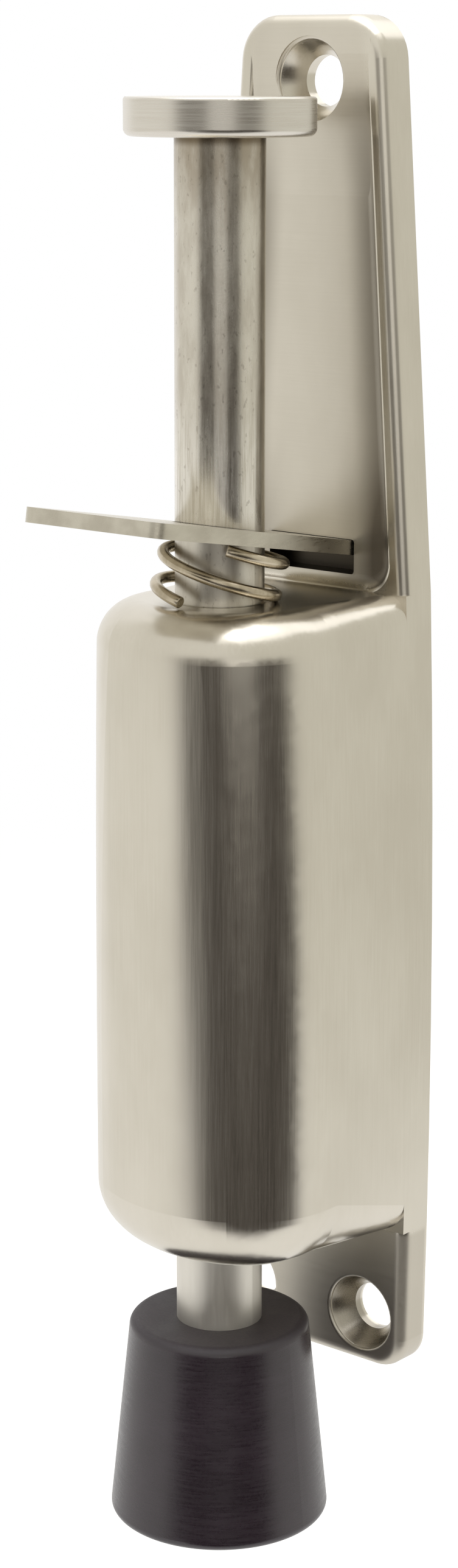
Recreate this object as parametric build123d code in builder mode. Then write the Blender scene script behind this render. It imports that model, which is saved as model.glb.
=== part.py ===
"""Step-on door holder: a sprung plunger with a rubber foot in a cast mounting body.

Frame: X across the door, +Y into the door, +Z up. The origin is the centre of the
top screw hole at the back face, which lies flat on the door.
"""
import os
from math import cos, radians, sin, tan

from build123d import *

os.makedirs("parts", exist_ok=True)

# ---------------------------------------------------------------- driving sizes (mm)
# Mounting body casting
plate_top_half_width = 11.9   # half width where the sides meet the top edge
shoulder_half_width = 17.35   # half width at the boss top
belly_half_width = 18.55      # widest half width
foot_half_width = 18.05       # half width at the bottom edge
belly_above_bottom = 59.3     # height of the widest place over the bottom edge
top_corner_radius = 6.0
bottom_corner_radius = 5.0
rim_depth = 5.6               # back face to the plate's flat top end and the side ribs' crests
foot_end_depth = 5.2          # back face to the front of the flat end below the boss
floor_thickness = 4.3         # back face to the pocket floor
rib_width_top = 2.3           # width of a side rib at the top corner, to its inner edge
rib_width = 2.9               # width of a side rib beside the boss
rib_edge_radius = 1.6         # outer edge
rib_inner_radius = 0.6        # inner edge, where the crest turns down into the pocket
foot_end_edge_radius = 1.8
pocket_radius = 2.0           # cove all round the pocket floor
pocket_corner_radius = 4.0    # lower corners, seen from the front
ramp_start_z = 3.5            # the flat top end starts to slope down to the pocket floor here
ramp_end_z = -15.0

# Screw holes
screw_hole_radius = 3.4
dish_radius = 5.35            # mouth of the dished recess for the screw head
dish_depth = 3.6              # mouth to the straight wall left behind the dish
dish_lip_radius = 0.5
top_screw_inset = 8.55        # top edge to the upper hole
bottom_screw_inset = 7.5      # bottom edge to the lower holes
bottom_screw_spacing = 21.0

# Boss
axis_projection = 24.0        # back face to the plunger's axis
boss_flank_reach = 3.0        # plunger's axis to where the flank meets the front curve
boss_top_drop = 76.2          # top edge of the plate to the boss's top face
boss_height = 91.0
plate_below_boss = 21.6       # boss underside to the plate's bottom edge
boss_corner_radius = 15.0     # upright front corners
boss_top_radius = 6.0         # round the front; it tightens towards the plate
boss_top_plate_radius = 3.5
boss_bottom_radius = 9.0      # likewise
boss_bottom_plate_radius = 4.5
boss_edge_blend = 21.0        # back face to where the edges have their full radius
boss_wall = 4.1               # wall round the cored cavity
guide_wall_top = 8.0
guide_wall_bottom = 8.0
guide_clearance = 0.05
guide_mouth_chamfer = 0.4

# Plunger
rod_radius = 6.0
cap_radius = 12.55
cap_thickness = 5.0
cap_top_edge_radius = 0.4
cap_under_edge_radius = 1.0
cap_above_boss = 60.7         # boss top to the cap's underside, plunger up
spigot_radius = 4.0
spigot_length = 3.5
groove_depth = 0.7
ring_thickness = 1.0
ring_width = 3.2
ring_gap_angle = 50.0
ring_side_play = 0.05
stop_clearance = 0.15         # retaining ring to the cavity roof, plunger up
seat_thickness = 1.5
seat_margin = 0.95            # washer's rim outside the return spring
seat_play = 0.2
seat_wall_gap = 0.6           # washer's rim to the cavity's front wall

# Return spring
return_wire = 1.3
return_mean_radius = 8.6
return_turns = 15.0

# Rubber foot
foot_top_gap = 11.0           # boss underside to the foot's top
foot_height = 28.9
foot_top_radius = 12.55
foot_bottom_radius = 15.5
foot_top_edge = 1.3
foot_bottom_edge = 1.1
socket_depth = 17.0
recess_play = 0.8             # washer's rim to the recess wall
recess_depth = 6.0
washer_radius = 6.2
washer_thickness = 1.0
screw_radius = 2.5
screw_engagement = 12.0
tapped_hole_spare = 1.0       # rod's tapped hole past the screw's end
screw_head_radius = 4.25
screw_head_height = 3.2
hex_across_flats = 4.0
hex_depth = 2.0
screw_passage_play = 0.3

# Release lever
lever_thickness = 2.0
lever_half_width = 12.1        # at the front edge
lever_reach = 25.8            # plunger axis to the lever's front edge, seen from above
lever_tilt = 9.8              # degrees, front edge up
lever_hole_play = 0.5         # on the radius, so that the lever can cant
lever_corner_radius = 2.0
tail_half_width = 7.1
slot_web = 0.8                # wall left behind the slot
tail_end_gap = 0.3            # tail end to that wall
slot_side_play = 0.3
slot_height = 4.8
slot_above_boss = 1.8         # boss top to the slot's lower edge
slot_corner_radius = 0.5
pivot_play = 0.1              # lever's top to the slot's upper edge

# Lever spring: a loose coil that has slumped over until it leans on the rod's far side
lever_spring_wire = 1.6
lever_spring_play = 1.2       # coil's inside to the rod, if they were concentric
lever_spring_over_rise = 0.45  # coil's climb over the room below the lever at the rod
lever_spring_turns = 1.91
lever_spring_lean = 13.2      # degrees off the plunger's axis
lever_spring_heading = 39.0   # degrees from +X towards +Y, the way it leans
lever_spring_start = -83.0    # degrees from +X, the lower cut end
lever_spring_side_shift = -0.3
lever_spring_front_shift = 1.05

# Cutters run this far past the faces that they open
cut_overrun = 1.0

# ---------------------------------------------------------------- sizes worked out
plate_top = top_screw_inset
seat_radius = return_mean_radius + return_wire / 2 + seat_margin
boss_front = axis_projection + seat_radius + seat_wall_gap + boss_wall
boss_flank_depth = axis_projection + boss_flank_reach
boss_top = plate_top - boss_top_drop
boss_bottom = boss_top - boss_height
plate_bottom = boss_bottom - plate_below_boss
bottom_screw_z = plate_bottom + bottom_screw_inset
cavity_roof = boss_top - guide_wall_top
cavity_floor = boss_bottom + guide_wall_bottom
axis_y = -axis_projection
cap_underside = boss_top + cap_above_boss
cap_top = cap_underside + cap_thickness
foot_top = boss_bottom - foot_top_gap
foot_bottom = foot_top - foot_height
rod_bottom = foot_top - socket_depth
ring_top = cavity_roof - stop_clearance
ring_bottom = ring_top - ring_thickness
seat_bottom = ring_bottom - seat_thickness
recess_top = foot_bottom + recess_depth
recess_radius = washer_radius + recess_play
lever_spring_mean_radius = rod_radius + lever_spring_play + lever_spring_wire / 2
slot_bottom = boss_top + slot_above_boss
slot_top = slot_bottom + slot_height
tilt = radians(lever_tilt)
pivot_z = slot_top - pivot_play
lever_rise = (axis_projection - floor_thickness) * tan(tilt)
lever_room = pivot_z + lever_rise - lever_thickness / cos(tilt) - boss_top


# ---------------------------------------------------------------- mounting body
def plate_outline():
    """Front view of the plate: tapered top half, bellied lower half, rounded corners."""
    with BuildSketch(Plane.XZ) as outline:
        with BuildLine():
            Line((0, plate_top), (plate_top_half_width, plate_top))
            Line((plate_top_half_width, plate_top), (shoulder_half_width, boss_top))
            ThreePointArc(
                (shoulder_half_width, boss_top),
                (belly_half_width, plate_bottom + belly_above_bottom),
                (foot_half_width, plate_bottom),
            )
            Line((foot_half_width, plate_bottom), (0, plate_bottom))
            mirror(about=Plane.YZ)
        make_face()
        corners = outline.vertices().filter_by(lambda v: abs(v.X) > 1)
        fillet(corners.group_by(Axis.Y)[-1], top_corner_radius)
        corners = outline.vertices().filter_by(lambda v: abs(v.X) > 1)
        fillet(corners.group_by(Axis.Y)[0], bottom_corner_radius)
    return outline.sketch_local


def boss_section(depth, top_radius=None, bottom_radius=None):
    """Front view of the boss at a depth from the back face, with its corners rounded."""
    with BuildSketch(Plane.XZ.offset(depth)) as section:
        add(front_view)
        with Locations((0, (boss_top + boss_bottom) / 2)):
            Rectangle(2 * boss_front, boss_height, mode=Mode.INTERSECT)
        if top_radius:
            fillet(section.vertices().group_by(Axis.Y)[-1], top_radius)
            fillet(section.vertices().group_by(Axis.Y)[0], bottom_radius)
    return section.sketch


front_view = plate_outline()
pocket_mouth = boss_front                # the pocket cutter reaches this far forward
pocket_rise = rim_depth - floor_thickness
pocket_top = ramp_start_z + pocket_rise   # cut a little beyond the ramp, which fills it again
# A cove taller than the rib stands its wall this far outside the rib's crest
cove_offset = pocket_radius - (2 * pocket_radius * pocket_rise - pocket_rise**2) ** 0.5

with BuildPart() as upper_pocket:
    with BuildSketch(Plane.XZ.offset(floor_thickness)) as pocket_plan:
        with BuildLine():
            side_top = plate_top_half_width - rib_width_top + cove_offset
            side_bottom = shoulder_half_width - rib_width + cove_offset
            Polyline((0, pocket_top), (side_top, pocket_top), (side_bottom, boss_top), (0, boss_top))
            mirror(about=Plane.YZ)
        make_face()
        corners = pocket_plan.vertices().group_by(Axis.Y)[0].filter_by(lambda v: abs(v.X) > 1)
        fillet(corners, pocket_corner_radius)
    extrude(amount=pocket_mouth)
    floor = upper_pocket.faces().sort_by(Axis.Y)[-1]
    fillet(floor.edges().filter_by(lambda e: (e @ 0.5).Z < ramp_start_z), pocket_radius)

# Fills the pocket's top, so that its floor slopes up to the flat end
with BuildPart() as pocket_ramp:
    with BuildSketch(Plane.XZ):
        with BuildLine():
            ramp_side = plate_top_half_width - rib_width_top + rib_inner_radius
            Polyline(
                (0, pocket_top + rib_inner_radius),
                (ramp_side, pocket_top + rib_inner_radius),
                (ramp_side + side_bottom - side_top, boss_top),
                (0, boss_top),
            )
            mirror(about=Plane.YZ)
        make_face()
    extrude(amount=rim_depth)
    with BuildSketch(Plane.YZ):
        Polygon(
            (-floor_thickness / 2, ramp_end_z),
            (-floor_thickness, ramp_end_z),
            (-rim_depth, ramp_start_z),
            (-rim_depth, plate_top),
            (-floor_thickness / 2, plate_top),
            align=None,
        )
    extrude(amount=shoulder_half_width, both=True, mode=Mode.INTERSECT)

# The plate above the boss, with side ribs, and the plain flat end below it
with BuildPart() as ribbed_end:
    with BuildSketch(Plane.XZ):
        add(front_view)
    extrude(amount=rim_depth)
    fillet(ribbed_end.faces().sort_by(Axis.Y)[0].edges(), rib_edge_radius)
    add(upper_pocket.part, mode=Mode.SUBTRACT)
    inner_edges = ribbed_end.edges().filter_by(
        lambda e: abs((e @ 0.5).Y + rim_depth) < 0.01
        and abs((e @ 0.5).X) < shoulder_half_width - rib_edge_radius
        and (e @ 0.5).Z < ramp_start_z
        and (e @ 0.5).Z > boss_top - 0.01
    )
    fillet(inner_edges, rib_inner_radius)
    add(pocket_ramp.part)
    split(bisect_by=Plane.XY.offset(boss_top), keep=Keep.TOP)

with BuildPart() as plain_end:
    with BuildSketch(Plane.XZ):
        add(front_view)
    extrude(amount=foot_end_depth)
    fillet(plain_end.faces().sort_by(Axis.Y)[0].edges(), foot_end_edge_radius)
    split(bisect_by=Plane.XY.offset(boss_bottom), keep=Keep.BOTTOM)


def screw_dish(front):
    """Cutter for a screw hole whose dished recess opens at this depth, with a rounded lip."""
    land = front - dish_depth
    with BuildPart() as dish:
        with BuildSketch(Plane.XY):
            with BuildLine():
                Polyline(
                    (dish_radius, -front + dish_lip_radius),
                    (screw_hole_radius, -land),
                    (screw_hole_radius, cut_overrun),
                    (0, cut_overrun),
                    (0, -front - cut_overrun),
                    (dish_radius + dish_lip_radius, -front - cut_overrun),
                    (dish_radius + dish_lip_radius, -front),
                )
                RadiusArc(
                    (dish_radius + dish_lip_radius, -front),
                    (dish_radius, -front + dish_lip_radius),
                    dish_lip_radius,
                )
            make_face()
        revolve(axis=Axis.Y)
    return dish.part


# The boss's front, cut to a rounded shape and edged all round
with BuildPart() as boss_nose:
    with BuildSketch(Plane.XZ):
        add(front_view)
    extrude(amount=boss_front + cut_overrun)
    with BuildSketch(Plane.XY.offset(boss_bottom)):
        with BuildLine():
            flank = belly_half_width + cut_overrun
            Polyline((-flank, -boss_flank_depth), (-flank, 0), (flank, 0), (flank, -boss_flank_depth))
            ThreePointArc((flank, -boss_flank_depth), (0, -boss_front), (-flank, -boss_flank_depth))
        make_face()
    extrude(amount=boss_height, mode=Mode.INTERSECT)
    front_corners = boss_nose.edges().filter_by(
        lambda e: (e @ 0.5).Y < -boss_flank_depth / 2 and abs((e % 0.5).Z) > 0.9
    )
    fillet(front_corners, boss_corner_radius)
    for level, radius in ((-1, boss_top_radius), (0, boss_bottom_radius)):
        end_face = boss_nose.faces().sort_by(Axis.Z)[level]
        fillet(end_face.edges().filter_by(lambda e: (e @ 0.5).Y < -rim_depth), radius)
    split(bisect_by=Plane.XZ.offset(boss_edge_blend), keep=Keep.TOP)

with BuildPart() as mounting_body:
    add(ribbed_end.part)
    add(plain_end.part)
    # Behind its nose the boss's edges tighten towards the plate
    extrude(boss_section(0), amount=rim_depth)
    loft(
        [
            boss_section(rim_depth, boss_top_plate_radius, boss_bottom_plate_radius).face(),
            boss_section(boss_edge_blend, boss_top_radius, boss_bottom_radius).face(),
        ],
        ruled=True,
    )
    add(boss_nose.part)

    # Cored cavity for the return spring, open to the door
    with BuildSketch(Plane.XY.offset(cavity_floor)):
        with BuildLine():
            half = shoulder_half_width - boss_wall
            front = boss_wall - boss_front
            side_end = front + half
            Polyline((-half, side_end), (-half, cut_overrun), (half, cut_overrun), (half, side_end))
            ThreePointArc((half, side_end), (0, front), (-half, side_end))
        make_face()
    extrude(amount=cavity_roof - cavity_floor, mode=Mode.SUBTRACT)

    # Guide bores for the plunger
    with BuildSketch(Plane.XY.offset(boss_bottom - cut_overrun)):
        with Locations((0, axis_y)):
            Circle(rod_radius + guide_clearance)
    extrude(amount=boss_height + 2 * cut_overrun, mode=Mode.SUBTRACT)
    mouths = mounting_body.edges().filter_by(GeomType.CIRCLE).filter_by(
        lambda e: abs(e.radius - rod_radius - guide_clearance) < 0.001
        and (abs(e.center().Z - boss_top) < 0.01 or abs(e.center().Z - boss_bottom) < 0.01)
    )
    chamfer(mouths, guide_mouth_chamfer)

    # Blind slot that holds the release lever's tail
    with BuildSketch(Plane.XZ.offset(slot_web)):
        with Locations((0, (slot_bottom + slot_top) / 2)):
            RectangleRounded(2 * (tail_half_width + slot_side_play), slot_height, slot_corner_radius)
    extrude(amount=floor_thickness + pocket_radius, mode=Mode.SUBTRACT)

    # Screw holes: one at the top, where the ramp has begun, and a pair below the boss
    top_hole_front = floor_thickness + pocket_rise * -ramp_end_z / (ramp_start_z - ramp_end_z)
    half_spacing = bottom_screw_spacing / 2
    add(screw_dish(top_hole_front), mode=Mode.SUBTRACT)
    for x in (-half_spacing, half_spacing):
        add(screw_dish(foot_end_depth).moved(Location((x, 0, bottom_screw_z))), mode=Mode.SUBTRACT)


# ---------------------------------------------------------------- plunger
half_section = Plane(origin=(0, axis_y, 0), x_dir=(1, 0, 0), z_dir=(0, -1, 0))
plunger_axis = Axis((0, axis_y, 0), (0, 0, 1))

with BuildPart() as plunger_rod:
    with BuildSketch(half_section):
        groove_radius = rod_radius - groove_depth
        Polygon(
            (0, rod_bottom + screw_engagement + tapped_hole_spare),
            (screw_radius, rod_bottom + screw_engagement + tapped_hole_spare),
            (screw_radius, rod_bottom),
            (rod_radius, rod_bottom),
            (rod_radius, ring_bottom - ring_side_play),
            (groove_radius, ring_bottom - ring_side_play),
            (groove_radius, ring_top + ring_side_play),
            (rod_radius, ring_top + ring_side_play),
            (rod_radius, cap_underside),
            (spigot_radius, cap_underside),
            (spigot_radius, cap_underside + spigot_length),
            (0, cap_underside + spigot_length),
            align=None,
        )
    revolve(axis=plunger_axis)

with BuildPart() as press_cap:
    with BuildSketch(half_section):
        Polygon(
            (0, cap_top),
            (cap_radius, cap_top),
            (cap_radius, cap_underside),
            (spigot_radius, cap_underside),
            (spigot_radius, cap_underside + spigot_length),
            (0, cap_underside + spigot_length),
            align=None,
        )
    revolve(axis=plunger_axis)
    rims = press_cap.edges().filter_by(GeomType.CIRCLE)
    rims = rims.filter_by(lambda e: abs(e.radius - cap_radius) < 0.001).sort_by(Axis.Z)
    fillet(rims[0], cap_under_edge_radius)
    fillet(press_cap.edges().filter_by(GeomType.CIRCLE).sort_by(Axis.Z)[-1], cap_top_edge_radius)

with BuildPart() as retaining_ring:
    with BuildSketch(Plane.XY.offset(ring_bottom)):
        with Locations((0, axis_y)):
            Circle(groove_radius + ring_width)
            Circle(groove_radius, mode=Mode.SUBTRACT)
        reach = 2 * (groove_radius + ring_width)
        opening = reach * tan(radians(ring_gap_angle / 2))
        with Locations((0, axis_y)):
            Polygon((0, 0), (-opening, -reach), (opening, -reach), align=None, mode=Mode.SUBTRACT)
    extrude(amount=ring_thickness)

with BuildPart() as spring_seat_washer:
    with BuildSketch(Plane.XY.offset(seat_bottom)):
        with Locations((0, axis_y)):
            Circle(seat_radius)
            Circle(rod_radius + seat_play, mode=Mode.SUBTRACT)
    extrude(amount=seat_thickness)

with BuildPart() as return_spring:
    spring_room = seat_bottom - cavity_floor - return_wire
    with BuildLine(Plane((0, axis_y, cavity_floor + return_wire / 2))) as coil:
        Helix(spring_room / return_turns, spring_room, return_mean_radius)
    with BuildSketch(Plane(origin=coil.line @ 0, z_dir=coil.line % 0)):
        Circle(return_wire / 2)
    sweep(path=coil.line, is_frenet=True)


# ---------------------------------------------------------------- rubber foot
with BuildPart() as rubber_foot:
    with BuildSketch(half_section):
        passage = screw_radius + screw_passage_play
        Polygon(
            (rod_radius, foot_top),
            (foot_top_radius, foot_top),
            (foot_bottom_radius, foot_bottom),
            (recess_radius, foot_bottom),
            (recess_radius, recess_top),
            (passage, recess_top),
            (passage, rod_bottom),
            (rod_radius, rod_bottom),
            align=None,
        )
    revolve(axis=plunger_axis)
    for radius, size in ((foot_top_radius, foot_top_edge), (foot_bottom_radius, foot_bottom_edge)):
        rims = rubber_foot.edges().filter_by(GeomType.CIRCLE)
        fillet(rims.filter_by(lambda e: abs(e.radius - radius) < 0.001), size)

with BuildPart() as foot_washer:
    with BuildSketch(Plane.XY.offset(recess_top - washer_thickness)):
        with Locations((0, axis_y)):
            Circle(washer_radius)
            Circle(passage, mode=Mode.SUBTRACT)
    extrude(amount=washer_thickness)

with BuildPart() as foot_screw:
    head_seat = recess_top - washer_thickness
    with BuildSketch(Plane.XY.offset(head_seat)):
        with Locations((0, axis_y)):
            Circle(screw_radius)
    extrude(amount=rod_bottom + screw_engagement - head_seat)
    with BuildSketch(Plane.XY.offset(head_seat - screw_head_height)):
        with Locations((0, axis_y)):
            Circle(screw_head_radius)
    extrude(amount=screw_head_height)
    with BuildSketch(Plane.XY.offset(head_seat - screw_head_height)):
        with Locations((0, axis_y)):
            RegularPolygon(hex_across_flats / 2, 6, major_radius=False)
    extrude(amount=hex_depth, mode=Mode.SUBTRACT)


# ---------------------------------------------------------------- release lever
lever_plane = Plane(
    origin=(0, -floor_thickness, pivot_z), x_dir=(1, 0, 0), z_dir=(0, sin(tilt), cos(tilt))
)

with BuildPart() as release_lever:
    front_edge = -(axis_projection + lever_reach - floor_thickness) / cos(tilt)
    tail_end = (floor_thickness - slot_web - tail_end_gap) / cos(tilt)
    rod_centre = (lever_thickness * sin(tilt) / 2 - (axis_projection - floor_thickness)) / cos(tilt)
    with BuildSketch(lever_plane) as lever_shape:
        Polygon(
            (-lever_half_width, front_edge),
            (lever_half_width, front_edge),
            (tail_half_width, 0),
            (tail_half_width, tail_end),
            (-tail_half_width, tail_end),
            (-tail_half_width, 0),
            align=None,
        )
        fillet(lever_shape.vertices().group_by(Axis.Y)[0], lever_corner_radius)
        with Locations((0, rod_centre)):
            Circle(rod_radius + lever_hole_play, mode=Mode.SUBTRACT)
    extrude(amount=-lever_thickness)

with BuildPart() as lever_spring:
    lean = radians(lever_spring_lean)
    heading = radians(lever_spring_heading)
    turn = radians(lever_spring_start - lever_spring_heading)
    climb = lever_room + lever_spring_over_rise
    pitch = climb / lever_spring_turns
    # The coil's lowest place rests on the boss top
    end_drop = max(
        lever_spring_mean_radius * cos(turn - radians(a)) * sin(lean) - pitch * a / 360 * cos(lean)
        for a in range(0, 360, 4)
    )
    foot_point = (
        lever_spring_side_shift,
        axis_y - lever_spring_front_shift,
        boss_top + lever_spring_wire / 2 + end_drop,
    )
    leaning = Plane(
        origin=foot_point,
        x_dir=(cos(heading) * cos(lean), sin(heading) * cos(lean), -sin(lean)),
        z_dir=(cos(heading) * sin(lean), sin(heading) * sin(lean), cos(lean)),
    )
    start_x = leaning.x_dir * cos(turn) + leaning.y_dir * sin(turn)
    coil_plane = Plane(origin=foot_point, x_dir=start_x, z_dir=leaning.z_dir)
    with BuildLine() as small_coil:
        Helix(pitch, climb, lever_spring_mean_radius, lefthand=True)
    wire_path = small_coil.line.moved(coil_plane.location)
    with BuildSketch(Plane(origin=wire_path @ 0, z_dir=wire_path % 0)):
        Circle(lever_spring_wire / 2)
    sweep(path=wire_path, is_frenet=True)


# ---------------------------------------------------------------- write the pieces
pieces = {
    "mounting_body": mounting_body,
    "plunger_rod": plunger_rod,
    "press_cap": press_cap,
    "retaining_ring": retaining_ring,
    "spring_seat_washer": spring_seat_washer,
    "return_spring": return_spring,
    "rubber_foot": rubber_foot,
    "foot_washer": foot_washer,
    "foot_screw": foot_screw,
    "release_lever": release_lever,
    "lever_spring": lever_spring,
}
for name, piece in pieces.items():
    piece.part.label = name
    export_step(piece.part, f"parts/{name}.step")
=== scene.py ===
"""Looks of a step-on door holder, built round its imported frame. Metres, +Z up, the door on +Y."""

import bpy
import numpy as np
from mathutils import Matrix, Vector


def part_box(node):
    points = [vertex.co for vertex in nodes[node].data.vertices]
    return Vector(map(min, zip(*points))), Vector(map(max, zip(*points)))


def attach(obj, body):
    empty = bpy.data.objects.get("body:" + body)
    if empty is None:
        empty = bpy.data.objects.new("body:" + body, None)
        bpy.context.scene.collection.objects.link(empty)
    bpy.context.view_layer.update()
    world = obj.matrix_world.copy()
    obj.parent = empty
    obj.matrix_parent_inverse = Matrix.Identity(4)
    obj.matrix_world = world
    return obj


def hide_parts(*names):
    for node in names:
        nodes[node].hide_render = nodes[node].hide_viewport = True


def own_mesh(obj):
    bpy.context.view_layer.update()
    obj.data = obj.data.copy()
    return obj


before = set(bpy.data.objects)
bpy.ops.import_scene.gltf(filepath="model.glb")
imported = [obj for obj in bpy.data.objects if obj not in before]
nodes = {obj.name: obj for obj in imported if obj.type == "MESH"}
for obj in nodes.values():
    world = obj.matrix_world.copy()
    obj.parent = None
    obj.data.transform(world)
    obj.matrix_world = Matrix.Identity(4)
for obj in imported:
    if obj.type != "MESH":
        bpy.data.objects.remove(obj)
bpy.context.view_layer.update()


# ---------------------------------------------------------------- mounting body
# One stainless casting: a tapered back plate with side ribs, and the rounded boss that guides the
# plunger. The boss is linished upwards, the pocket of the plate across, and the flat lower end on
# the slant, and it is all left satin. Three dished holes take the screws that fix it to the door.
class Socket:
    """A shader socket in arithmetic: each operator adds the Math node that works it out."""

    def __init__(self, out):
        self.out = out

    def math(self, operation, *others):
        tree = self.out.id_data
        node = tree.nodes.new("ShaderNodeMath")
        node.operation = operation
        for slot, value in zip(node.inputs, (self, *others)):
            if isinstance(value, Socket):
                tree.links.new(value.out, slot)
            else:
                slot.default_value = value
        return Socket(node.outputs[0])

    def __add__(self, other):
        return self.math("ADD", other)

    def __mul__(self, other):
        return self.math("MULTIPLY", other)

    def __sub__(self, other):
        return self.math("SUBTRACT", other)

    def __rsub__(self, other):
        return (self * -1) + other

    __radd__ = __add__
    __rmul__ = __mul__


class Shading:
    """The node tree of one finish. add() makes any node: its settings first, then its sockets."""

    def __init__(self, owner):
        owner.use_nodes = True
        self.tree = owner.node_tree
        self.tree.nodes.clear()

    def add(self, kind, settings=None, sockets=None, output=0):
        """The node's output of that number or name, or all of them for None."""
        node = self.tree.nodes.new("ShaderNode" + kind)
        for key, value in (settings or {}).items():
            setattr(node, key, value)
        for key, value in (sockets or {}).items():
            if isinstance(value, Socket):
                self.tree.links.new(value.out, node.inputs[key])
            else:
                node.inputs[key].default_value = value
        if output is None:
            return [Socket(out) for out in node.outputs]
        return Socket(node.outputs[output])

    def split(self, vector):
        """The three parts of a vector."""
        return self.add("SeparateXYZ", {}, {0: vector}, output=None)

    def noise(self, scale, detail=3.0, roughness=0.55, turn=(0, 0, 0)):
        """Fractal noise from 0 to 1, with that many swells to the metre along X, Y and Z."""
        here = self.add("TexCoord", output="Object")
        place = self.add("Mapping", {}, {"Vector": here, "Rotation": turn, "Scale": scale})
        return self.add(
            "TexNoise", {}, {"Vector": place, "Scale": 1.0, "Detail": detail, "Roughness": roughness}
        )

    def scratches(self, scale, turn=(0, 0, 0)):
        """Fine lines over broader ones, drawn out along the axis whose scale is low."""
        fine = self.noise(scale, 3.0, 0.65, turn)
        broad = self.noise([s * 0.4 for s in scale], 2.0, 0.6, turn)
        return fine * 0.75 + broad * 0.25

    def ramp(self, value, low, high, start=0.0, end=1.0):
        """value taken from low..high to start..end along a smooth step; high may lie below low."""
        flip = low > high
        ends = (high, low, end, start) if flip else (low, high, start, end)
        names = ("From Min", "From Max", "To Min", "To Max")
        return self.add(
            "MapRange", {"interpolation_type": "SMOOTHSTEP"}, {"Value": value, **dict(zip(names, ends))}
        )

    def mix(self, share, first, second):
        """first and second colour mixed by share."""
        first, second = (c if isinstance(c, Socket) else (*c, 1) for c in (first, second))
        return self.add("Mix", {"data_type": "RGBA"}, {0: share, 6: first, 7: second}, output=2)

    def bump(self, height, strength, depth):
        return self.add("Bump", {}, {"Height": height, "Strength": strength, "Distance": depth})

    def finish(self, **sockets):
        """The Principled surface, linked to the output."""
        names = {
            "color": "Base Color",
            "metallic": "Metallic",
            "roughness": "Roughness",
            "normal": "Normal",
            "specular": "Specular IOR Level",
            "sheen": "Sheen Weight",
            "sheen_roughness": "Sheen Roughness",
        }
        surface = self.add("BsdfPrincipled", {}, {names[key]: value for key, value in sockets.items()})
        self.add("OutputMaterial", {}, {"Surface": surface}, output=None)


def wear(node, material):
    """Gives a CAD node its finish."""
    mesh = nodes[node].data
    mesh.materials.clear()
    mesh.materials.append(material)


body_low, body_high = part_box("mounting_body")
foot_low, foot_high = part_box("rubber_foot")
door_face, plate_top = body_high[1], body_high[2]
boss_top = plate_top - 0.0762
boss_bottom = foot_high[2] + 0.011
plate_front = door_face - 0.0056
pocket_half_width = 0.0096       # at the plate's top edge
pocket_flare = 0.0636            # how much that grows for each metre down
slot_mouth = door_face - 0.0042  # the slot is cut in the pocket's floor
slot_half_width = 0.0076
slot_top = boss_top + 0.0068
dish_radius = 0.0053
lower_hole_x = 0.0105
lower_hole_z = body_low[2] + 0.0075
light_steel = (0.70, 0.66, 0.58)
dull_steel = (0.63, 0.59, 0.51)
# painted shade: the darker steel of the pocket's edges and corners, the lower end and the dishes
painted_shade_steel = (0.21, 0.185, 0.15)
deep_shade = (0.035, 0.028, 0.020)
# painted light: the pale of the boss's underside
pale_painted_light = (0.80, 0.77, 0.70)


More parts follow.
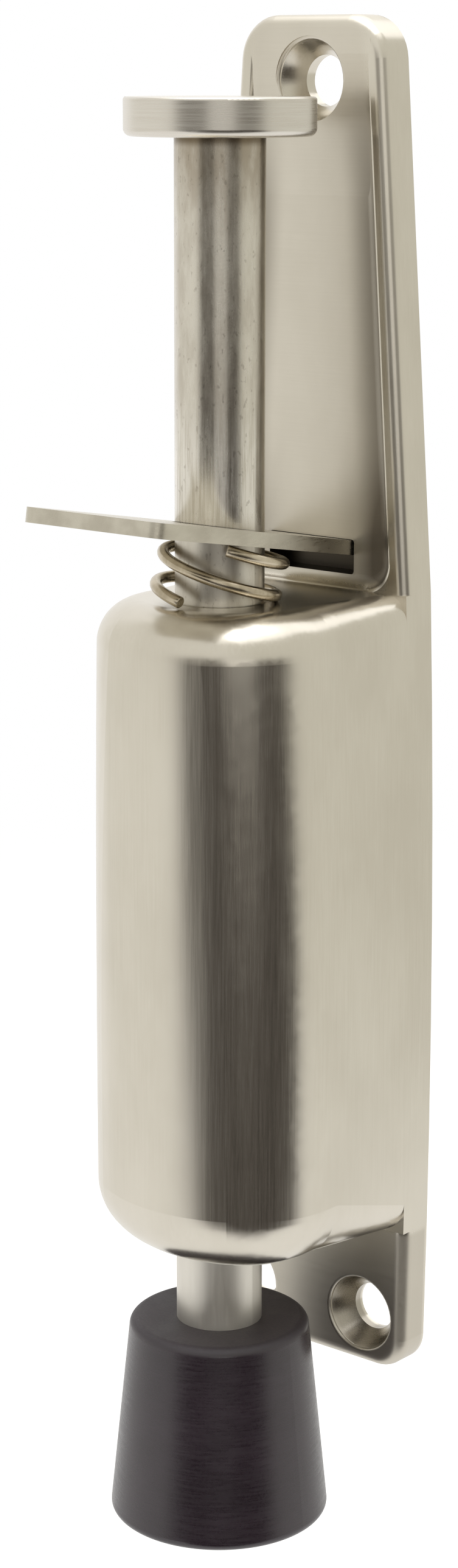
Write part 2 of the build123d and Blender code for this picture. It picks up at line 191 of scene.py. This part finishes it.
def satin_casting():
    """Linished upwards on the boss and sides, across in the pocket and on the slant at the lower end.
    The belt doesn't reach the pocket's edges and corners, which stay rough, with painted shade on
    them. The slot, the lower end and the dishes have painted shade, and the boss's underside is
    pale and dull, a painted light band."""
    material = bpy.data.materials.new("satin_casting")
    look = Shading(material)
    x, y, z = look.split(look.add("TexCoord", output="Object"))
    off_middle = x.math("ABSOLUTE")

    # The plate's front above and below the boss; its back face is kept out
    on_plate = look.ramp(y, plate_front - 0.0016, plate_front)
    on_plate = on_plate * look.ramp(y, door_face - 0.0002, door_face - 0.0007)
    above_boss = look.ramp(z, boss_top, boss_top + 0.002)
    lower_end = on_plate * look.ramp(z, boss_bottom, boss_bottom - 0.001)

    # The pocket, with its long edges and its lower corners
    pocket_side = z * -pocket_flare + (pocket_half_width + pocket_flare * plate_top)
    from_side = pocket_side - off_middle
    pocket = on_plate * above_boss * look.ramp(from_side, 0.0, 0.0015)
    edge = look.ramp(from_side, 0.0065, 0.0015) * look.ramp(z, plate_top - 0.006, plate_top - 0.03)
    corner = look.ramp(z, boss_top + 0.022, boss_top + 0.003) * look.ramp(off_middle, 0.003, 0.009)
    # These edges and corners are rougher, and their darker colour below is painted shade
    rough_shaded_edges = (pocket * (edge * 0.7 + corner * 0.45 + edge * corner * 0.2)).math("MINIMUM", 1.0)

    # The slot, the boss's underside, and the dishes, which go by the distance from the nearest
    # hole's axis. The origin is on the top hole's.
    soft = 0.0002
    inside_slot = look.ramp(y, slot_mouth - soft, slot_mouth + soft) * above_boss * on_plate
    inside_slot = inside_slot * look.ramp(off_middle, slot_half_width + soft, slot_half_width - soft)
    inside_slot = inside_slot * look.ramp(z, slot_top + soft, slot_top - soft)
    underside = look.ramp(z, boss_bottom + 0.0018, boss_bottom + 0.0006)
    underside = underside * look.ramp(y, door_face - 0.012, door_face - 0.016)
    top_hole = (x * x + z * z).math("SQRT")
    lower_x = off_middle - lower_hole_x
    lower_z = z - lower_hole_z
    lower_holes = (lower_x * lower_x + lower_z * lower_z).math("SQRT")
    from_hole = top_hole.math("MINIMUM", lower_holes)
    dish = look.ramp(from_hole, dish_radius + 0.0003, dish_radius - 0.0003)

    # The belt's lines, and what they, the painted shade and the painted light do to the steel
    upward = look.scratches((5200, 5200, 90))
    across = look.scratches((90, 5200, 4200))
    slanting = look.scratches((90, 5200, 3600), turn=(0, np.radians(-28), 0))
    streak = upward + pocket * (across - upward) + lower_end * (slanting - upward)
    cloud = look.noise((70, 70, 40), 4.0)
    waviness = look.noise((70, 70, 45), 1.0)
    grain = look.noise((3000, 3000, 3000), 2.0)
    tone = look.ramp(cloud * 0.7 + streak * 0.3, 0.3, 0.7)
    color = look.mix(tone, dull_steel, light_steel)
    # Painted shade on the pocket's edges and corners, on the lower end and in the dishes
    painted_shade = rough_shaded_edges + lower_end * 0.12 + dish * (lower_end * 0.42 + 0.02)
    color = look.mix(painted_shade, color, painted_shade_steel)
    # Painted shade inside the slot
    color = look.mix(inside_slot * 0.95, color, deep_shade)
    # Painted light: the boss's underside made pale and dull
    color = look.mix(underside, color, pale_painted_light)
    satin = look.ramp(streak, 0.3, 0.7, 0.21, 0.265)
    roughness = satin + pocket * 0.12 + lower_end * 0.16 + rough_shaded_edges * 0.12 + underside * 0.4
    look.finish(
        color=color,
        metallic=1 - underside * 0.75,
        roughness=roughness - dish * 0.12,
        normal=look.bump(streak * 0.02 + waviness + rough_shaded_edges * grain * 0.12, 0.35, 0.00012),
    )
    return material


wear("mounting_body", satin_casting())


# ---------------------------------------------------------------- plunger
# A drawn stainless bar, handled and slightly mottled, with a turned cap pressed on its top. Its
# hidden end carries a spring clip, the washer that the return spring lifts, and the foot's screw.
rod_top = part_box("plunger_rod")[1][2]
guide_run = 0.018                # how far up inside the boss the guided end's look fades out


def bar_steel():
    """Drawn bar: faint upright lines, fine grit, long smudges, and a brown darkening and a dark ring
    under the cap. The end below the boss is pale and dull, the part inside the boss and the lever's
    spring is a little duller, and a lighter band above that is a painted glint."""
    material = bpy.data.materials.new("bar_steel")
    look = Shading(material)
    lines = look.scratches((3600, 3600, 120))
    smudge = look.noise((420, 420, 110), 5.0, 0.65)
    grit = look.noise((4200, 4200, 4200), 2.0)
    speck = look.ramp(look.noise((1500, 1500, 900), 2.0), 0.62, 0.72)
    height = look.split(look.add("TexCoord", output="Object"))[2]
    tint = look.ramp(height, rod_top - 0.018, rod_top - 0.004)
    ring = look.ramp(height, rod_top - 0.0050, rod_top - 0.0038)
    guided = look.ramp(height, boss_bottom + guide_run, boss_bottom)
    sprung = look.ramp(height, boss_top + 0.013, boss_top + 0.009) * (1 - guided)
    painted_glint = look.ramp(height, boss_top + 0.030, boss_top + 0.018) * (1 - guided - sprung)
    clean = look.mix(look.ramp(smudge, 0.35, 0.65), (0.56, 0.52, 0.45), (0.68, 0.645, 0.57))
    clean = look.mix(guided, clean, (0.76, 0.73, 0.67))
    # Painted glint: a lighter band above the lever's spring
    clean = look.mix(painted_glint * look.ramp(lines, 0.42, 0.58, 0.1, 0.6), clean, (0.90, 0.875, 0.82))
    # A brown darkening towards the cap and a dark ring just under it
    stained = look.mix(tint * look.ramp(smudge, 0.7, 0.35, 0.45, 0.9), clean, (0.36, 0.31, 0.24))
    stained = look.mix(ring * 0.8, stained, (0.12, 0.085, 0.045))
    satin = look.ramp(smudge * 0.5 + lines * 0.5, 0.3, 0.7, 0.18, 0.30)
    look.finish(
        color=look.mix(speck * (1 - guided) * 0.35, stained, (0.22, 0.19, 0.15)),
        metallic=1.0,
        roughness=satin + guided * 0.22 + sprung * 0.10,
        normal=look.bump(lines * 0.3 + grit * 0.7, 0.45, 0.000012),
    )
    return material


def turned_steel():
    """Turned in the lathe: fine level rings."""
    material = bpy.data.materials.new("turned_steel")
    look = Shading(material)
    rings = look.scratches((120, 120, 7000))
    look.finish(
        color=look.mix(look.ramp(rings, 0.3, 0.7), (0.66, 0.62, 0.56), (0.72, 0.69, 0.63)),
        metallic=1.0,
        roughness=look.ramp(rings, 0.3, 0.7, 0.24, 0.34),
        normal=look.bump(rings, 0.20, 0.000006),
    )
    return material


def plated_steel():
    """Zinc-plated fastener: cool, fine-grained and dull."""
    material = bpy.data.materials.new("plated_steel")
    look = Shading(material)
    grain = look.noise((900, 900, 900), 3.0)
    look.finish(
        color=look.mix(grain, (0.52, 0.53, 0.54), (0.64, 0.64, 0.63)),
        metallic=1.0,
        roughness=look.ramp(grain, 0.3, 0.7, 0.26, 0.38),
        normal=look.bump(grain, 0.3, 0.00001),
    )
    return material


wear("plunger_rod", bar_steel())
wear("press_cap", turned_steel())
plating = plated_steel()
for name in ("retaining_ring", "spring_seat_washer", "foot_washer", "foot_screw"):
    wear(name, plating)


# ---------------------------------------------------------------- return spring
# A compression spring of drawn wire inside the boss. It stands on the cavity's floor and pushes the
# seat washer up.
def wire(name, path, axis, radius, body, node):
    """Round wire along a path: a ring at each point, in the plane of the axis's cross product with
    the path's direction and the vector square to both, and a slightly bevelled flat cut at each end."""
    sides = 14
    way = np.gradient(path, axis=0)
    way /= np.linalg.norm(way, axis=1, keepdims=True)
    out = np.cross(axis, way)
    out /= np.linalg.norm(out, axis=1, keepdims=True)
    up = np.cross(way, out)
    cut = radius * 0.12
    start = [path[:1], path[:1] + way[:1] * cut]
    end = [path[-1:] - way[-1:] * cut, path[-1:]]
    centres = np.concatenate([*start, path[1:-1], *end])
    out, up = (np.concatenate([v[:1], v, v[-1:]]) for v in (out, up))
    size = np.full(len(centres), radius)
    size[[0, -1]] -= cut
    angle = np.linspace(0, 2 * np.pi, sides, endpoint=False)
    ring = np.cos(angle)[None, :, None] * out[:, None] + np.sin(angle)[None, :, None] * up[:, None]
    points = (centres[:, None] + ring * size[:, None, None]).reshape(-1, 3)
    row, col = np.meshgrid(np.arange(len(centres) - 1), np.arange(sides), indexing="ij")
    after = (col + 1) % sides
    this_ring, next_ring = row * sides, (row + 1) * sides
    corners = [this_ring + col, this_ring + after, next_ring + after, next_ring + col]
    quads = np.stack(corners, -1).reshape(-1, 4)
    first = np.arange(sides)
    caps = [first[::-1].tolist(), (first + len(points) - sides).tolist()]
    mesh = bpy.data.meshes.new(name)
    mesh.from_pydata(points.tolist(), [], quads.tolist() + caps)
    mesh.shade_smooth()
    for face in mesh.polygons[-2:]:
        face.use_smooth = False
    piece = bpy.data.objects.new(name, mesh)
    bpy.context.collection.objects.link(piece)
    mesh.materials.append(drawn_wire)
    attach(piece, body)
    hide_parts(node)
    return piece


def wire_steel():
    """Drawn wire: warm, bright on its crown and a little stained."""
    material = bpy.data.materials.new("drawn_wire")
    look = Shading(material)
    stain = look.noise((350, 350, 350), 3.0)
    look.finish(
        color=look.mix(look.ramp(stain, 0.35, 0.65), (0.42, 0.36, 0.26), (0.60, 0.53, 0.41)),
        metallic=1.0,
        roughness=look.ramp(stain, 0.3, 0.7, 0.20, 0.30),
        normal=look.bump(look.noise((1800, 1800, 1800), 2.0), 0.2, 0.000006),
    )
    return material


drawn_wire = wire_steel()
spring_low, spring_high = (np.array(corner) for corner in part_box("return_spring"))
return_wire = 0.00065
return_turns = 15
steps_per_turn = 40
middle = (spring_low + spring_high) / 2
reach = (spring_high[0] - spring_low[0]) / 2 - return_wire
t = np.linspace(0, 1, return_turns * steps_per_turn)
angle = 2 * np.pi * return_turns * t
first_z, last_z = spring_low[2] + return_wire, spring_high[2] - return_wire
climb = first_z + (last_z - first_z) * t
coil = np.stack([reach * np.cos(angle), middle[1] + reach * np.sin(angle), climb], -1)
return_spring = wire("lifting_spring", coil, (0, 0, 1), return_wire, "frame", "return_spring")
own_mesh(return_spring)


# ---------------------------------------------------------------- rubber foot
# A tapered foot moulded in black rubber, pushed over the end of the bar. The mould leaves it dull,
# with faint level marks and a slight grain.
def moulded_rubber():
    """Black with a trace of violet, a low gloss, faint level marks and a duller flat top."""
    material = bpy.data.materials.new("moulded_rubber")
    look = Shading(material)
    grain = look.noise((2600, 2600, 2600), 3.0)
    marks = look.noise((260, 260, 3600), 3.0, 0.65)
    bloom = look.noise((90, 90, 150), 4.0, 0.6)
    tone = look.ramp(bloom * 0.6 + marks * 0.4, 0.35, 0.65)
    height = look.split(look.add("TexCoord", output="Object"))[2]
    top = look.ramp(height, foot_high[2] - 0.0010, foot_high[2] - 0.0003)
    look.finish(
        color=look.mix(tone, (0.0105, 0.0042, 0.0092), (0.0180, 0.0095, 0.0165)),
        roughness=look.ramp(marks * 0.6 + grain * 0.4, 0.3, 0.7, 0.24, 0.36) + top * 0.3,
        normal=look.bump(grain * 0.6 + marks * 0.4, 0.35, 0.00003),
        specular=0.80,
        sheen=0.03,
        sheen_roughness=0.4,
    )
    return material


wear("rubber_foot", moulded_rubber())


# ---------------------------------------------------------------- release lever
# A flat lever blanked from plate. Its tail turns in the body's slot and its hole bites the bar.
def blanked_plate():
    """Linished along its length, and slightly clouded."""
    material = bpy.data.materials.new("blanked_plate")
    look = Shading(material)
    lines = look.scratches((3600, 120, 3600))
    cloud = look.noise((240, 120, 240), 3.0)
    look.finish(
        color=look.mix(look.ramp(cloud, 0.35, 0.65), (0.50, 0.465, 0.39), (0.60, 0.565, 0.48)),
        metallic=1.0,
        roughness=look.ramp(lines, 0.3, 0.7, 0.25, 0.38),
        normal=look.bump(lines, 0.35, 0.00001),
    )
    return material


wear("release_lever", blanked_plate())


# ---------------------------------------------------------------- lever spring
# A short loose coil between the boss and the lever. It has slumped over until it leans on the
# bar's far side.
def leaning_coil(foot, lean, heading, start, turns, radius, climb):
    """A left-hand helix about an axis that leans from upright towards a heading, with its first
    point at the start angle seen from above. Returns its points and that axis."""
    level = np.array([np.cos(heading), np.sin(heading), 0.0])
    axis = np.array([*(level[:2] * np.sin(lean)), np.cos(lean)])
    first = level * np.cos(lean) - np.array([0, 0, np.sin(lean)])
    second = np.cross(axis, first)
    steps = 120
    t = np.linspace(0, 1, steps)[:, None]
    angle = start - heading - 2 * np.pi * turns * t
    return foot + radius * (np.cos(angle) * first + np.sin(angle) * second) + climb * t * axis, axis


lever_wire = 0.0008
coil, axis = leaning_coil(
    foot=np.zeros(3), lean=np.radians(13.2), heading=np.radians(39.0), start=np.radians(-83.0),
    turns=1.91, radius=0.008, climb=0.00832,
)
low, high = (np.array(corner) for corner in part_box("lever_spring"))
coil += (low + high - coil.min(axis=0) - coil.max(axis=0)) / 2
lever_spring = wire("slack_spring", coil, axis, lever_wire, "frame", "lever_spring")
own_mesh(lever_spring)


# ---------------------------------------------------------------- studio
# White to the eye. The metal mirrors pale paper, brighter overhead, warm grey walls to both sides,
# and a dark gap in front, where the camera stands, with a strip of light down its middle. A box
# lamp hangs over the work.
bpy.context.scene.view_settings.view_transform = "Standard"
camera = bpy.data.objects.new("camera", bpy.data.cameras.new("camera"))
bpy.context.collection.objects.link(camera)
bpy.context.scene.camera = camera
camera.data.lens = 70.58
camera.data.clip_start = 0.01
heading, pitch, roll = np.radians((39.82, 13.104, 0.077))
camera.location = (0.26073, -0.33473, 0.00157)
turn = Matrix.Rotation(heading, 4, "Z") @ Matrix.Rotation(np.pi / 2 - pitch, 4, "X")
turn = turn @ Matrix.Rotation(roll, 4, "Z")
camera.rotation_euler = turn.to_euler()


def studio_light():
    """The world, by the degrees that each direction is round from the camera, to the right, and by
    its height z, from -1 straight down to 1 straight up."""
    world = bpy.data.worlds.new("studio")
    bpy.context.scene.world = world
    look = Shading(world)
    x, y, z = look.split(look.add("TexCoord", output="Generated"))
    sine, cosine = float(np.sin(heading)), float(np.cos(heading))
    round_angle = (x * cosine + y * sine).math("ARCTAN2", x * sine - y * cosine) * float(180 / np.pi)

    # The paper and the walls. The brighter paper starts lower behind to the right.
    lift = z + look.ramp(round_angle, 95, 125, 0, 0.28)
    outside = look.mix(look.ramp(lift, 0.68, 0.80), (1.05, 1.04, 1.02), (1.60, 1.59, 1.57))
    walls = look.ramp(round_angle, -140, -120) * look.ramp(round_angle, 178, 165)
    walls = walls * look.ramp(lift, 0.82, 0.72) * look.ramp(z, -0.40, -0.28)
    wall = look.mix(look.ramp(round_angle, -20, 20), (0.90, 0.885, 0.835), (0.765, 0.75, 0.68))
    color = look.mix(walls, outside, wall)

    # The gap. Both sides move a little to the right below the level, and draw in towards the floor.
    right_shift = look.ramp(z, -0.15, -0.24, 0, 8) - look.ramp(z, -0.40, -0.75, 0, 34)
    left_shift = look.ramp(z, -0.29, -0.35, 0, 12) + look.ramp(z, -0.40, -0.75, 0, 26)
    gap = look.ramp(round_angle - left_shift, -62, -44) * look.ramp(round_angle - right_shift, 61, 42)
    gap = gap * look.ramp(z, -0.88, -0.55) * look.ramp(z, 0.25, 0.0)
    dark = look.mix(look.ramp(z, -0.12, -0.02), (0.058, 0.050, 0.044), (0.28, 0.265, 0.24))
    color = look.mix(gap, color, dark)

    # The strip: brightest at its lower end, dim just above that, and white from the level up
    strip = look.ramp(round_angle, -19, -9) * look.ramp(round_angle, 24, 13)
    strip = strip * look.ramp(z, -0.140, -0.105) * look.ramp(z, 0.2, 0.1)
    glow = look.mix(look.ramp(z, -0.085, -0.115), (0.40, 0.385, 0.355), (2.0, 1.96, 1.88))
    glow = look.mix(look.ramp(z, -0.026, -0.010), glow, (1.05, 1.03, 0.98))
    color = look.mix(strip, color, glow)

    seen = look.add("LightPath", output="Is Camera Ray")
    color = look.mix(seen, color, (1.0, 1.0, 1.0))
    shine = look.add("Background", {}, {"Color": color, "Strength": 1.0})
    look.add("OutputWorld", {}, {"Surface": shine}, output=None)


studio_light()


def paper():
    """White paper: it keeps the shadow near the work and melts into the white beyond."""
    material = bpy.data.materials.new("paper")
    look = Shading(material)
    x, y, z = look.split(look.add("TexCoord", output="Object"))
    far = look.ramp((x * x + y * y).math("SQRT"), 0.15, 0.6, 0.35, 1.0)
    grain = look.noise((300, 300, 300))
    sheet = look.add(
        "BsdfPrincipled", {},
        {"Base Color": look.mix(grain, (0.95, 0.95, 0.95), (0.97, 0.97, 0.97)), "Roughness": 0.9},
    )
    white = look.add("Emission", {}, {"Strength": 1.0})
    share = far * look.add("LightPath", output="Is Camera Ray")
    surface = look.add("MixShader", {}, {0: share, 1: sheet, 2: white})
    look.add("OutputMaterial", {}, {"Surface": surface}, output=None)
    return material


floor_gap = 0.05                 # the foot comes down 48 mm
bpy.ops.mesh.primitive_plane_add(size=6, location=(0, 0, foot_low[2] - floor_gap))
floor = bpy.context.object
floor.name = "floor"
floor.data.materials.append(paper())
floor.visible_glossy = False

lamp = bpy.data.lights.new("top_box", "AREA")
lamp.shape = "RECTANGLE"
lamp.size, lamp.size_y = 0.8, 0.8
lamp.energy = 3.0
top_box = bpy.data.objects.new("top_box", lamp)
bpy.context.collection.objects.link(top_box)
top_box.location = (0.0, -0.15, 0.9)
